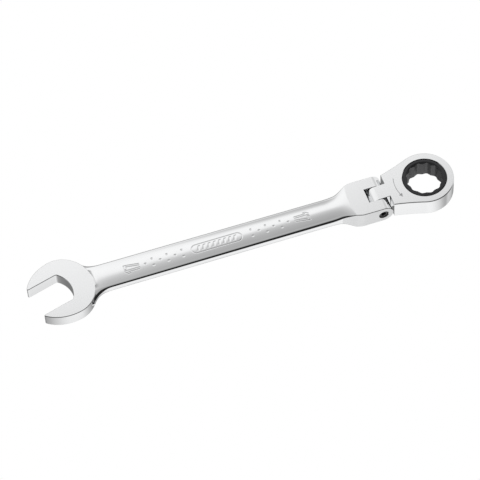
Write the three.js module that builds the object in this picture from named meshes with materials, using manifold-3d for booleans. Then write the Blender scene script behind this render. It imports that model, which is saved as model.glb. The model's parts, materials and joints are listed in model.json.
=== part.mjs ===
// Flex-head ratcheting combination wrench for 17 mm hexagons: a forged handle with an open-end jaw
// at one end and a yoke at the other, and a ratchet head whose tongue tilts in the yoke.
// Millimetres, +Z up, +X along the handle from the jaw to the ratchet head.
// The pieces are drawn about the hinge, whose axis runs along Y through the drawing's origin. The
// whole wrench is then moved so that its own origin is at the middle of its base.

import * as THREE from 'three';
import { mergeVertices } from 'three/addons/utils/BufferGeometryUtils.js';
import Module from 'manifold-3d';

const wasm = await Module();
wasm.setup();

const { clamp, degToRad, lerp, smoothstep } = THREE.MathUtils;

// ---- driving dimensions ----

const HEX = 17;                     // nut size across flats, for both ends
const HEX_PLAY = 0.1;               // what a jaw or socket adds to the nut size
const HEAD_FLEX = degToRad(4);      // how far the ratchet head is tilted up as the wrench lies

// open-end jaw, drawn in its own axes: u into the jaw's mouth, v across it
const JAW_X = -172.7;               // middle of the jaw, measured from the hinge
const JAW_Y = -1.5;
const JAW_TURN = degToRad(15);      // the mouth's angle to the handle
const JAW_THICKNESS = 7.4;
const JAW_HALF_WIDTH = 17.2;        // the outline is two half ellipses of this half width
const JAW_OUTLINE_U = 3;            // where they meet
const JAW_BACK = 15;                // the length of the one towards the handle
const JAW_FRONT = [20, 20.4];       // and towards the far tip and the near tip
const JAW_THROAT_U = 6.1;           // floor of the mouth
const JAW_THROAT_RADIUS = 13.2;
const JAW_CORNER_RADIUS = 1.6;
const JAW_TIP_ROUND = [1.8, 1.6];   // rounding of the far tip and the near tip
const JAW_TIP_BLEND = 0.6;          // the part of it that lies on the outline's side
const JAW_EDGE = 0.35;              // edge rounding of the ground faces
const JAW_SEGMENTS = 10;            // straight parts of each of its curves

// handle shank: a crowned bar with flat sides, a little wider and thinner towards the jaw. Each pair
// is the value at the jaw's end and at the yoke's end.
const SHANK_WIDTH = [15.0, 14.8];
const SHANK_CROWN = [2.85, 3.7];    // half thickness along the middle
const SHANK_SIDE = [1.05, 0.65];    // half height of the flat side
const SHOULDER = [1.08, 1.45];      // rounding between the side and the crown
const SHOULDER_STEPS = 3;
const CROWN_STEPS = 8;
const SHANK_START = -162;           // stations run from inside the jaw to inside the yoke
const SHANK_END = -9;
const STATION_STEP = 1;             // between stations where the handle bends
const LONG_STATION_STEP = 9;        // and where it is straight

// round necks where the shank widens into the jaw: start, radius and length of each
const FAR_NECK = [-148.8, 14, 10.6];
const NEAR_NECK = [-147, 12.8, 8.9];

// where the shank widens into the yoke, and where its crown rises to the yoke's flat pad
const YOKE_FLARE = [-22.5, -10.5];
const YOKE_RISE_X = -28;
const YOKE_RISE_POWER = 1.9;
const PAD_X = -16;                  // the pad's edge in the middle of the handle
const PAD_EDGE_BOW = 0.012;         // and how far it bows, per square millimetre off the middle

// yoke and hinge
const YOKE_WIDTH = 21.4;
const YOKE_THICKNESS = 10.6;
const YOKE_START = -9.5;
const YOKE_EDGE = 0.3;
const SLOT_WIDTH = 8.74;
const SLOT_FLOOR = -5.98;
const SCREW_RADIUS = 2.4;           // plain shank of the pivot screw
const THREAD_RADIUS = 1.95;         // its end, in the far ear
const SCREW_SHOULDER_Y = 4.75;
const SCREW_LENGTH = 20.5;
const SCREW_SOCKET = 2.5;           // hexagon socket across flats
const SCREW_SOCKET_DEPTH = 1.5;
const SCREW_CHAMFER = [0.2, 0.3];   // at the socket's end and at the threaded end
const HINGE_CLEARANCE = 0.12;

// friction ball that presses on the tongue, and its spring, in a bore in the slot's floor
const BALL_RADIUS = 1.5;
const BALL_BORE_RADIUS = 1.62;
const BALL_BORE_DEPTH = 8.4;
const BALL_GAP = 0.08;
const BALL_SPRING = { radius: 1.15, wire: 0.2, turns: 5 };

// ratchet head, drawn about the hinge as if it were straight
const HEAD_TOP = 5.3;               // flush with the tongue
const HEAD_BOTTOM = -5.7;
const HEAD_EDGE = 0.45;
const HEAD_SEGMENTS = 20;
const TONGUE_WIDTH = 8.4;
const TONGUE_ROOT = 9;              // how far the tongue's block runs into the head
const SHOULDER_X = 6.1;
const SHOULDER_HALF_WIDTH = 9.9;
const GEAR_X = 26.9;                // gear's axis
const RING_RADIUS = 15.4;
const NECK_JOIN = degToRad(110);    // where the neck's side meets the ring
const NECK_CONTROL_X = 14;

// drive gear: 72 ratchet teeth outside, a 12-point socket inside, a plain collar at each end
const TEETH = 72;
const TOOTH_TIP_RADIUS = 12.75;
const TOOTH_ROOT_RADIUS = 12.3;
const TOOTH_BAND = 6.8;             // length of the toothed part
const TOOTH_TIP_PART = 0.1;         // half of a tip's share of the pitch, and where a flank ends
const TOOTH_FLANK_PART = 0.4;
const COLLAR_RADIUS = 11.42;
const GEAR_TOP = 5.2;
const GEAR_BOTTOM = -5.5;
const SOCKET_POINTS = 12;
const SOCKET_MOUTH = { top: [10.15, 0.55], bottom: [10.15, 0.35] };  // a shallow cone's radius and slope
const SOCKET_MOUTH_INNER = 8.5;     // where the cones end, inside the socket

// bore that holds the gear: a lip at the top, open at the bottom, closed there by a spring ring
const LIP_RADIUS = 11.65;
const LIP_THICKNESS = 1.6;
const GEAR_BORE_RADIUS = 13.05;
const RING_GROOVE_RADIUS = 13.8;
const RING_GROOVE_Z = -4.0;
const RING_GROOVE_WIDTH = 1.0;
const SNAP_RING_RADII = [12.0, 13.6];
const SNAP_RING_THICKNESS = 0.7;
const SNAP_RING_GAP = degToRad(14); // half of the opening between its ends
const SNAP_RING_SEGMENTS = 36;

// pawl, in a pocket of the neck behind the gear, and its spring
const PAWL_BACK = 9.9;
const PAWL_FRONT = 15.2;
const PAWL_WIDTH = 9.6;
const PAWL_THICKNESS = 5.8;
const PAWL_CORNER = 1.2;
const PAWL_CORNER_SEGMENTS = 6;
const PAWL_TOOTH_GAP = 0.14;
const POCKET_BACK = 8.9;
const POCKET_PLAY = 0.25;
const SPRING_BORE_RADIUS = 1.25;
const SPRING_SEAT_X = 5.4;          // floor of the bore in the neck
const PAWL_SEAT_DEPTH = 1.6;
const POCKET_FRONT = 9;             // its open end, measured back from the gear's axis
const PAWL_SPRING = { radius: 0.85, wire: 0.17, turns: 5 };
const SPRING_END_GAP = 0.15;
const SPRING_STEPS = 12;            // straight parts of one turn of a spring

const ROUND = 40;                   // sides of a round piece
const FINE_ROUND = 72;              // sides of the large bores and the ring
const CUT = 1;                      // how far a cutting body runs past what it cuts

// ---- materials ----

const finish = (color, metalness, roughness) =>
  new THREE.MeshStandardMaterial({ color, metalness, roughness });

const chrome = finish(0xd4d5d6, 1, 0.2);
const blackSteel = finish(0x2b2b2d, 0.85, 0.45);
const hardSteel = finish(0x8d8f92, 1, 0.35);
const springSteel = finish(0x6f7174, 1, 0.4);

// ---- solids ----

// A closed geometry as a solid: shared vertices merged, and triangles that merging flattened left out.
function solid(geometry) {
  const bare = geometry.index ? geometry.toNonIndexed() : geometry.clone();
  bare.deleteAttribute('normal');
  bare.deleteAttribute('uv');
  const merged = mergeVertices(bare, 1e-4);
  const index = merged.index.array;
  const triangles = [];
  for (let i = 0; i < index.length; i += 3) {
    const [a, b, c] = index.slice(i, i + 3);
    if (a !== b && b !== c && c !== a) triangles.push(a, b, c);
  }
  return new wasm.Manifold(new wasm.Mesh({
    numProp: 3,
    vertProperties: Float32Array.from(merged.attributes.position.array),
    triVerts: Uint32Array.from(triangles),
  }));
}

function piece(name, body, material) {
  const mesh = body.getMesh();
  const geometry = new THREE.BufferGeometry();
  geometry.setAttribute('position', new THREE.BufferAttribute(Float32Array.from(mesh.vertProperties), 3));
  geometry.setIndex(Array.from(mesh.triVerts));
  geometry.computeVertexNormals();
  const result = new THREE.Mesh(geometry, material);
  result.name = name;
  return result;
}

// A box between two corners.
function box(low, high) {
  const size = high.map((value, i) => value - low[i]);
  const geometry = new THREE.BoxGeometry(...size);
  geometry.translate(...low.map((value, i) => value + size[i] / 2));
  return solid(geometry);
}

// A cylinder or cone along Z at (x, y), radiusLow at zLow and radiusHigh at zHigh.
function turnedZ(x, y, zLow, zHigh, radiusLow, radiusHigh = radiusLow, sides = FINE_ROUND) {
  const geometry = new THREE.CylinderGeometry(radiusHigh, radiusLow, zHigh - zLow, sides);
  geometry.rotateX(Math.PI / 2);
  geometry.translate(x, y, (zLow + zHigh) / 2);
  return solid(geometry);
}

function turnedY(yLow, yHigh, radius) {
  const geometry = new THREE.CylinderGeometry(radius, radius, yHigh - yLow, ROUND);
  geometry.translate(0, (yLow + yHigh) / 2, 0);
  return solid(geometry);
}

function turnedX(xLow, xHigh, radius) {
  const geometry = new THREE.CylinderGeometry(radius, radius, xHigh - xLow, ROUND / 2);
  geometry.rotateZ(Math.PI / 2);
  geometry.translate((xLow + xHigh) / 2, 0, 0);
  return solid(geometry);
}

// A plate of the shape's own outline, centred on z = 0, with rounded edges. Points that two of the
// outline's curves share are kept once.
function plate(shape, thickness, edge, curveSegments) {
  const points = shape.getPoints(curveSegments);
  const outline = points.filter((point, i) => point.distanceTo(points[(i + 1) % points.length]) > 1e-3);
  const geometry = new THREE.ExtrudeGeometry(new THREE.Shape(outline), {
    depth: thickness - 2 * edge,
    bevelEnabled: edge > 0,
    bevelSize: edge,
    bevelThickness: edge,
    bevelOffset: -edge,
    bevelSegments: 2,
  });
  geometry.translate(0, 0, edge - thickness / 2);
  return geometry;
}

// A plate of an outline drawn in X and Z, which runs along Y.
function barY(shape, width, edge) {
  const geometry = plate(shape, width, edge, ROUND / 2);
  geometry.rotateX(Math.PI / 2);
  return solid(geometry);
}

// A closed skin over rings of points: each ring has as many points, and both ends are capped.
function loft(rings) {
  const count = rings[0].length;
  const positions = rings.flat().flatMap((point) => point.toArray());
  const index = [];
  for (let i = 0; i + 1 < rings.length; i += 1) {
    for (let j = 0; j < count; j += 1) {
      const a = i * count + j;
      const b = i * count + (j + 1) % count;
      index.push(a, b, a + count, b, b + count, a + count);
    }
  }
  const last = (rings.length - 1) * count;
  for (let j = 1; j + 1 < count; j += 1) {
    index.push(0, j + 1, j);
    index.push(last, last + j, last + j + 1);
  }
  const geometry = new THREE.BufferGeometry();
  geometry.setAttribute('position', new THREE.Float32BufferAttribute(positions, 3));
  geometry.setIndex(index);
  return solid(geometry);
}

class Helix extends THREE.Curve {
  constructor(start, end, radius, turns) {
    super();
    Object.assign(this, { start, end, radius, turns });
  }

  getPoint(t, target = new THREE.Vector3()) {
    const angle = 2 * Math.PI * this.turns * t;
    const x = lerp(this.start, this.end, t);
    return target.set(x, this.radius * Math.cos(angle), this.radius * Math.sin(angle));
  }
}

// A coil spring along X.
function spring(start, end, { radius, wire, turns }) {
  const section = new THREE.Shape().absarc(0, 0, wire, 0, 2 * Math.PI);
  return solid(new THREE.ExtrudeGeometry(section, {
    steps: turns * SPRING_STEPS,
    curveSegments: 3,
    extrudePath: new Helix(start + wire, end - wire, radius, turns),
  }));
}

// ---- handle ----

// One of the jaw's tips: where it is, where its rounding leaves the mouth's flat and where that
// meets the outline.
function jawTip(front, round) {
  const tipU = JAW_OUTLINE_U - front * Math.sqrt(1 - ((HEX + HEX_PLAY) / 2 / JAW_HALF_WIDTH) ** 2);
  const outerU = tipU + round * JAW_TIP_BLEND;
  const angle = Math.acos((outerU - JAW_OUTLINE_U) / front);
  return { front, tipU, flatU: tipU + round, outerU, outerV: JAW_HALF_WIDTH * Math.sin(angle), angle };
}

// The jaw's outline with its mouth, in its own u and v.
function jawShape() {
  const half = (HEX + HEX_PLAY) / 2;
  const throatU = JAW_THROAT_U - JAW_THROAT_RADIUS;
  const cornerV = half - JAW_CORNER_RADIUS;
  const cornerU = throatU + Math.sqrt((JAW_THROAT_RADIUS - JAW_CORNER_RADIUS) ** 2 - cornerV ** 2);
  const cornerAngle = Math.atan2(cornerV, cornerU - throatU);
  const quarter = Math.PI / 2;
  const [far, near] = JAW_FRONT.map((front, i) => jawTip(front, JAW_TIP_ROUND[i]));
  const shape = new THREE.Shape();
  shape.moveTo(far.flatU, half);
  shape.lineTo(cornerU, half);
  shape.absarc(cornerU, cornerV, JAW_CORNER_RADIUS, quarter, cornerAngle, true);
  shape.absarc(throatU, 0, JAW_THROAT_RADIUS, cornerAngle, -cornerAngle, true);
  shape.absarc(cornerU, -cornerV, JAW_CORNER_RADIUS, -cornerAngle, -quarter, true);
  shape.lineTo(near.flatU, -half);
  shape.quadraticCurveTo(near.tipU, -half, near.outerU, -near.outerV);
  shape.absellipse(JAW_OUTLINE_U, 0, near.front, JAW_HALF_WIDTH, -near.angle, -quarter, false);
  shape.absellipse(JAW_OUTLINE_U, 0, JAW_BACK, JAW_HALF_WIDTH, -quarter, quarter, false);
  shape.absellipse(JAW_OUTLINE_U, 0, far.front, JAW_HALF_WIDTH, quarter, far.angle, false);
  shape.quadraticCurveTo(far.tipU, half, far.flatU, half);
  return shape;
}

function jaw() {
  const geometry = plate(jawShape(), JAW_THICKNESS, JAW_EDGE, JAW_SEGMENTS);
  geometry.rotateZ(JAW_TURN);
  geometry.translate(JAW_X, JAW_Y, 0);
  return solid(geometry);
}

// The value at x of a pair that holds the jaw's end and the yoke's end.
function endPair(pair, x) {
  return lerp(...pair, clamp((x - FAR_NECK[0]) / (YOKE_RISE_X - FAR_NECK[0]), 0, 1));
}

// The handle's half width at x, on the side of y's sign.
function halfWidth(x, y) {
  const [start, radius, length] = y < 0 ? NEAR_NECK : FAR_NECK;
  const neck = radius - Math.sqrt(radius ** 2 - clamp(start - x, 0, length) ** 2);
  return lerp(endPair(SHANK_WIDTH, x) / 2 + neck, YOKE_WIDTH / 2, smoothstep(x, ...YOKE_FLARE));
}

// The handle's half thickness at x and y, without the rounding of its shoulders.
function crownHeight(x, y) {
  const side = endPair(SHANK_SIDE, x) + endPair(SHOULDER, x);
  const crown = lerp(side, endPair(SHANK_CROWN, x), 1 - (y / halfWidth(x, y)) ** 2);
  const rise = clamp((x - YOKE_RISE_X) / (PAD_X + PAD_EDGE_BOW * y ** 2 - YOKE_RISE_X), 0, 1);
  return lerp(crown, YOKE_THICKNESS / 2, rise ** YOKE_RISE_POWER);
}

// The upper half of the handle's section at x, from the far side to the near side.
function upperSection(x) {
  const shoulder = lerp(endPair(SHOULDER, x), YOKE_EDGE, smoothstep(x, YOKE_FLARE[0], PAD_X));
  const farY = halfWidth(x, 1) - shoulder;
  const nearY = shoulder - halfWidth(x, -1);
  const crown = [];
  for (let i = 0; i <= CROWN_STEPS; i += 1) {
    const y = lerp(farY, nearY, i / CROWN_STEPS);
    crown.push([y, crownHeight(x, y)]);
  }
  const rounded = (y, out) => Array.from({ length: SHOULDER_STEPS }, (_, i) => {
    const angle = Math.PI / 2 * (i + 1) / SHOULDER_STEPS;
    const drop = shoulder * (1 - Math.cos(angle));
    return [y + out * shoulder * Math.sin(angle), crownHeight(x, y) - drop];
  });
  return [...rounded(farY, 1).reverse(), ...crown, ...rounded(nearY, -1)];
}

function shank() {
  const bends = (x) => x < FAR_NECK[0] || x > YOKE_RISE_X - STATION_STEP;
  const stations = [];
  for (let x = SHANK_START; x < SHANK_END; x += bends(x) ? STATION_STEP : LONG_STATION_STEP) {
    stations.push(x);
  }
  stations.push(SHANK_END);
  return loft(stations.map((x) => {
    const upper = upperSection(x);
    const lower = upper.map(([y, z]) => [y, -z]).reverse();
    return [...upper, ...lower].map(([y, z]) => new THREE.Vector3(x, y, z));
  }));
}

// The yoke before its slot is cut: a block with its end rounded about the hinge.
function yoke() {
  const radius = YOKE_THICKNESS / 2;
  const profile = new THREE.Shape();
  profile.moveTo(YOKE_START, -radius);
  profile.lineTo(0, -radius);
  profile.absarc(0, 0, radius, -Math.PI / 2, Math.PI / 2, false);
  profile.lineTo(YOKE_START, radius);
  return barY(profile, YOKE_WIDTH, YOKE_EDGE);
}

function handleForging() {
  const halfSlot = SLOT_WIDTH / 2;
  const ear = YOKE_WIDTH / 2 + CUT;
  const reach = YOKE_THICKNESS;
  return jaw().add(shank()).add(yoke())
    .subtract(box([SLOT_FLOOR, -halfSlot, -reach], [reach, halfSlot, reach]))
    .subtract(turnedY(-ear, SCREW_SHOULDER_Y + HINGE_CLEARANCE, SCREW_RADIUS + HINGE_CLEARANCE))
    .subtract(turnedY(0, ear, THREAD_RADIUS + HINGE_CLEARANCE))
    .subtract(turnedX(SLOT_FLOOR - BALL_BORE_DEPTH, 0, BALL_BORE_RADIUS));
}

// A shank with a plain part for the hinge and a thinner threaded end, flush with both ears.
function pivotScrew() {
  const near = -SCREW_LENGTH / 2;
  const far = SCREW_LENGTH / 2;
  const [nearChamfer, farChamfer] = SCREW_CHAMFER;
  const outline = [
    [0, near], [SCREW_RADIUS - nearChamfer, near], [SCREW_RADIUS, near + nearChamfer],
    [SCREW_RADIUS, SCREW_SHOULDER_Y], [THREAD_RADIUS, SCREW_SHOULDER_Y],
    [THREAD_RADIUS, far - farChamfer], [THREAD_RADIUS - farChamfer, far], [0, far],
  ].map(([radius, y]) => new THREE.Vector2(radius, y));
  const socketRadius = SCREW_SOCKET / 2 / Math.cos(Math.PI / 6);
  const socket = new THREE.CylinderGeometry(socketRadius, socketRadius, 2 * SCREW_SOCKET_DEPTH, 6);
  socket.translate(0, near, 0);
  return solid(new THREE.LatheGeometry(outline, ROUND)).subtract(solid(socket));
}

const ballX = -HEAD_TOP - BALL_GAP - BALL_RADIUS;

function frictionBall() {
  const geometry = new THREE.SphereGeometry(BALL_RADIUS, 16, 10);
  geometry.translate(ballX, 0, 0);
  return solid(geometry);
}

function ballSpring() {
  const start = SLOT_FLOOR - BALL_BORE_DEPTH + SPRING_END_GAP;
  return spring(start, ballX - BALL_RADIUS - SPRING_END_GAP, BALL_SPRING);
}

// ---- ratchet head ----

function headShape() {
  const joinX = GEAR_X + RING_RADIUS * Math.cos(NECK_JOIN);
  const joinY = RING_RADIUS * Math.sin(NECK_JOIN);
  const controlY = joinY + (NECK_CONTROL_X - joinX) / Math.tan(Math.PI - NECK_JOIN);
  const shape = new THREE.Shape();
  shape.moveTo(SHOULDER_X, -SHOULDER_HALF_WIDTH);
  shape.quadraticCurveTo(NECK_CONTROL_X, -controlY, joinX, -joinY);
  shape.absarc(GEAR_X, 0, RING_RADIUS, -NECK_JOIN, NECK_JOIN, false);
  shape.quadraticCurveTo(NECK_CONTROL_X, controlY, SHOULDER_X, SHOULDER_HALF_WIDTH);
  return shape;
}

// The tongue turns in the yoke about its own round end.
function tongue() {
  const profile = new THREE.Shape();
  profile.moveTo(TONGUE_ROOT, HEAD_TOP);
  profile.lineTo(0, HEAD_TOP);
  profile.absarc(0, 0, HEAD_TOP, Math.PI / 2, 3 * Math.PI / 2, false);
  profile.lineTo(TONGUE_ROOT, -HEAD_TOP);
  return barY(profile, TONGUE_WIDTH, 0);
}

function ratchetHead() {
  const body = plate(headShape(), HEAD_TOP - HEAD_BOTTOM, HEAD_EDGE, HEAD_SEGMENTS);
  body.translate(0, 0, (HEAD_TOP + HEAD_BOTTOM) / 2);
  const pocketHalf = PAWL_WIDTH / 2 + POCKET_PLAY;
  const pocketHeight = PAWL_THICKNESS / 2 + POCKET_PLAY;
  const pocketFront = GEAR_X - POCKET_FRONT;
  const grooveLow = RING_GROOVE_Z - RING_GROOVE_WIDTH / 2;
  const grooveHigh = RING_GROOVE_Z + RING_GROOVE_WIDTH / 2;
  return solid(body).add(tongue())
    .subtract(turnedY(-TONGUE_WIDTH, TONGUE_WIDTH, SCREW_RADIUS + HINGE_CLEARANCE))
    .subtract(turnedZ(GEAR_X, 0, HEAD_BOTTOM - CUT, HEAD_TOP + CUT, LIP_RADIUS))
    .subtract(turnedZ(GEAR_X, 0, HEAD_BOTTOM - CUT, HEAD_TOP - LIP_THICKNESS, GEAR_BORE_RADIUS))
    .subtract(turnedZ(GEAR_X, 0, grooveLow, grooveHigh, RING_GROOVE_RADIUS))
    .subtract(box([POCKET_BACK, -pocketHalf, -pocketHeight], [pocketFront, pocketHalf, pocketHeight]))
    .subtract(turnedX(SPRING_SEAT_X, POCKET_BACK + CUT, SPRING_BORE_RADIUS));
}

// A ring of pointed teeth about (GEAR_X, 0), a tip towards +X.
function toothShape(tipRadius, rootRadius) {
  const corners = [
    [-TOOTH_TIP_PART, tipRadius], [TOOTH_TIP_PART, tipRadius],
    [TOOTH_FLANK_PART, rootRadius], [1 - TOOTH_FLANK_PART, rootRadius],
  ];
  const points = [];
  for (let i = 0; i < TEETH; i += 1) {
    for (const [part, radius] of corners) {
      const angle = 2 * Math.PI * (i + part) / TEETH;
      points.push(new THREE.Vector2(GEAR_X + radius * Math.cos(angle), radius * Math.sin(angle)));
    }
  }
  return new THREE.Shape(points);
}

// The 12-point socket: the outline of two hexagons, one turned by 30 degrees.
function socketShape() {
  const half = (HEX + HEX_PLAY) / 2;
  const pointRadius = half / Math.cos(Math.PI / 6);
  const notchRadius = half / Math.cos(Math.PI / SOCKET_POINTS);
  const points = [];
  for (let i = 0; i < 2 * SOCKET_POINTS; i += 1) {
    const radius = i % 2 ? notchRadius : pointRadius;
    const angle = Math.PI * i / SOCKET_POINTS;
    points.push(new THREE.Vector2(GEAR_X + radius * Math.cos(angle), radius * Math.sin(angle)));
  }
  return new THREE.Shape(points);
}

function driveGear() {
  const [topRadius, topSlope] = SOCKET_MOUTH.top;
  const [bottomRadius, bottomSlope] = SOCKET_MOUTH.bottom;
  const topEnd = GEAR_TOP - topSlope * (topRadius - SOCKET_MOUTH_INNER);
  const bottomEnd = GEAR_BOTTOM + bottomSlope * (bottomRadius - SOCKET_MOUTH_INNER);
  return turnedZ(GEAR_X, 0, GEAR_BOTTOM, GEAR_TOP, COLLAR_RADIUS)
    .add(solid(plate(toothShape(TOOTH_TIP_RADIUS, TOOTH_ROOT_RADIUS), TOOTH_BAND, 0)))
    .subtract(solid(plate(socketShape(), 2 * (GEAR_TOP - GEAR_BOTTOM), 0)))
    .subtract(turnedZ(GEAR_X, 0, topEnd, GEAR_TOP, SOCKET_MOUTH_INNER, topRadius))
    .subtract(turnedZ(GEAR_X, 0, GEAR_BOTTOM, bottomEnd, bottomRadius, SOCKET_MOUTH_INNER));
}

function snapRing() {
  const [inner, outer] = SNAP_RING_RADII;
  const shape = new THREE.Shape();
  shape.absarc(GEAR_X, 0, outer, SNAP_RING_GAP, 2 * Math.PI - SNAP_RING_GAP, false);
  shape.absarc(GEAR_X, 0, inner, 2 * Math.PI - SNAP_RING_GAP, SNAP_RING_GAP, true);
  const geometry = plate(shape, SNAP_RING_THICKNESS, 0, SNAP_RING_SEGMENTS);
  geometry.translate(0, 0, RING_GROOVE_Z);
  return solid(geometry);
}

// A block whose front is cut to the gear's teeth, with a seat for the spring in its back.
function pawl() {
  const half = PAWL_WIDTH / 2;
  const shape = new THREE.Shape();
  shape.moveTo(PAWL_FRONT, half);
  shape.lineTo(PAWL_BACK + PAWL_CORNER, half);
  shape.absarc(PAWL_BACK + PAWL_CORNER, half - PAWL_CORNER, PAWL_CORNER, Math.PI / 2, Math.PI, false);
  shape.absarc(PAWL_BACK + PAWL_CORNER, PAWL_CORNER - half, PAWL_CORNER, Math.PI, 3 * Math.PI / 2, false);
  shape.lineTo(PAWL_FRONT, -half);
  const teeth = toothShape(TOOTH_TIP_RADIUS + PAWL_TOOTH_GAP, TOOTH_ROOT_RADIUS + PAWL_TOOTH_GAP);
  return solid(plate(shape, PAWL_THICKNESS, 0, PAWL_CORNER_SEGMENTS))
    .subtract(solid(plate(teeth, PAWL_THICKNESS + CUT, 0)))
    .subtract(turnedX(PAWL_BACK - CUT, PAWL_BACK + PAWL_SEAT_DEPTH, SPRING_BORE_RADIUS));
}

function pawlSpring() {
  const start = SPRING_SEAT_X + SPRING_END_GAP;
  return spring(start, PAWL_BACK + PAWL_SEAT_DEPTH - SPRING_END_GAP, PAWL_SPRING);
}

// ---- assembly ----

const handle = new THREE.Group();
handle.add(piece('handle_forging', handleForging(), chrome));
handle.add(piece('pivot_screw', pivotScrew(), blackSteel));
handle.add(piece('friction_ball', frictionBall(), hardSteel));
handle.add(piece('ball_spring', ballSpring(), springSteel));

const gear = new THREE.Group();
gear.add(piece('drive_gear', driveGear(), blackSteel));

const pawlGroup = new THREE.Group();
pawlGroup.add(piece('pawl', pawl(), hardSteel));

const head = new THREE.Group();
head.add(piece('ratchet_head', ratchetHead(), chrome));
head.add(piece('gear_retaining_ring', snapRing(), springSteel));
head.add(piece('pawl_spring', pawlSpring(), springSteel));
head.add(gear, pawlGroup);
head.rotation.y = -HEAD_FLEX;

const assembly = new THREE.Group();
assembly.add(handle, head);

const extent = new THREE.Box3().setFromObject(assembly, true);
const middle = extent.getCenter(new THREE.Vector3());
assembly.position.set(-middle.x, -middle.y, -extent.min.z);

const wrench = new THREE.Group();
wrench.add(assembly);

export default wrench;
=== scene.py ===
import json
import math

import bmesh
import bpy
import numpy as np
from mathutils import Matrix, Vector


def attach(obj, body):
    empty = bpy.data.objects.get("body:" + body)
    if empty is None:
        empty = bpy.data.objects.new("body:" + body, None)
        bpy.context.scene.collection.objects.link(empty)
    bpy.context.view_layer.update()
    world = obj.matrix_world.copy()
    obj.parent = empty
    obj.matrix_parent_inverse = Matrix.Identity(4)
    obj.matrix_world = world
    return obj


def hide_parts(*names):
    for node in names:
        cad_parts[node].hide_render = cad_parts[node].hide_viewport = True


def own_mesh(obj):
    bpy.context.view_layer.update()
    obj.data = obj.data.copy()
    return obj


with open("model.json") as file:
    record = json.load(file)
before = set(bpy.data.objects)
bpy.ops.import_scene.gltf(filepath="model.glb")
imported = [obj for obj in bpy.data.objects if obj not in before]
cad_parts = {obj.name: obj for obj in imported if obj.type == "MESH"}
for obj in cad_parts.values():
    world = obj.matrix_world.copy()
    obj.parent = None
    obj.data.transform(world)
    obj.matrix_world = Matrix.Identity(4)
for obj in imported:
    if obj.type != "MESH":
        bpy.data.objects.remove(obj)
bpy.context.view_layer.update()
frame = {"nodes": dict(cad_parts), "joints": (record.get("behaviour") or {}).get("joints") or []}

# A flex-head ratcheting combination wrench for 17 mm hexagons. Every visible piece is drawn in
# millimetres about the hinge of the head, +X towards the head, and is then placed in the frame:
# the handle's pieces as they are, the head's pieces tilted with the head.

MM = 0.001

# ---- the frame's axes ----

joints = {joint["name"]: joint for joint in frame["joints"]}
hinge = Vector(joints["head_flex"]["pos_m"])
gear_centre = Vector(joints["gear_spin"]["pos_m"])
gear_axis = Vector(joints["gear_spin"]["axis"])
HEAD_TILT = math.atan2(-gear_axis.x, gear_axis.z)
GEAR_X = (gear_centre - hinge).length / MM
HANDLE_PLACE = Matrix.Translation(hinge)
HEAD_PLACE = Matrix.Translation(hinge) @ Matrix.Rotation(-HEAD_TILT, 4, "Y")

# ---- driving dimensions, in millimetres ----

HEX = 17.1                          # across the flats of the jaw and the socket
JAW_CENTRE = (-172.7, -1.5)
JAW_TURN = math.radians(15)
JAW_Z = 3.7                         # half thickness
JAW_HALF_WIDTH = 17.14
JAW_OUTLINE_U = 3.0                 # middle of the outline's ellipses, along the mouth
JAW_BACK = 15.0                     # their reach from there to the back
JAW_FRONT = {1: 20.0, -1: 20.4}     # and to the front, on the far side and on the near side
JAW_TIP_ROUND = {1: 1.8, -1: 1.4}
JAW_TIP_BLEND = 0.6
JAW_THROAT_U = 6.1
JAW_THROAT_RADIUS = 13.2
JAW_CORNER_RADIUS = 1.6
JAW_EDGE = 0.35

# Each pair is the value at the jaw and at the yoke.
SHANK_HALF_WIDTH = (7.5, 7.4)
SHANK_CROWN = (2.85, 3.7)           # half thickness along the middle
SHANK_SIDE = (1.05, 0.65)           # half height of the flat side
SHOULDER = (1.08, 1.45)             # rounding between the side and the crown
SHOULDER_STEPS = 8
SHANK_START = -162.0
# The shank widens into the jaw in a round neck: where it starts, its radius and its length, on
# the far side and on the near side.
JAW_NECK = {1: (-148.8, 14.0, 10.6), -1: (-147.0, 12.8, 11.0)}
NECK_SHOULDER_Y = 1.0               # what the shoulder gains in width, per neck's width
NECK_SHOULDER_Z = (0.9, 1.2)        # what it gains in height, per neck's width, and its limit
JAW_FILLET = (2.4, 0.8)             # length and height of the fillet at the foot of the jaw
JAW_FILLET_ENDS = (3.8, 6.0)        # where it fades out, off the middle

YOKE_HALF_WIDTH = 10.7
YOKE_Z = 5.3                        # half thickness, and the radius of the ears' ends
YOKE_FLARE = (-22.5, -10.5)         # where the handle widens into the yoke
YOKE_RISE_X = -28.0                 # where the crown begins to rise to the pad
YOKE_RISE_POWER = 1.9               # and how late it rises
PAD_X = -16.0                       # the pad's edge in the middle of the handle
PAD_EDGE_BOW = 0.012                # and how far it bows, per square millimetre off the middle
YOKE_EDGE = 0.3
SLOT_HALF_WIDTH = 4.37
SLOT_FLOOR = -5.98

SCREW_RADIUS = 2.4
THREAD_RADIUS = 1.95
THREAD_PITCH = 0.8
THREAD_DEPTH = 0.28
SCREW_HALF_LENGTH = 10.25
SCREW_SHOULDER_Y = 4.75
SCREW_HEX = 2.5
SCREW_HEX_DEPTH = 1.5
SCREW_CHAMFER = 0.3
SCREW_PLAY = 0.12
SCREW_HOLE_RIM = 0.25               # chamfer at both ends of the screw's hole

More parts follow.
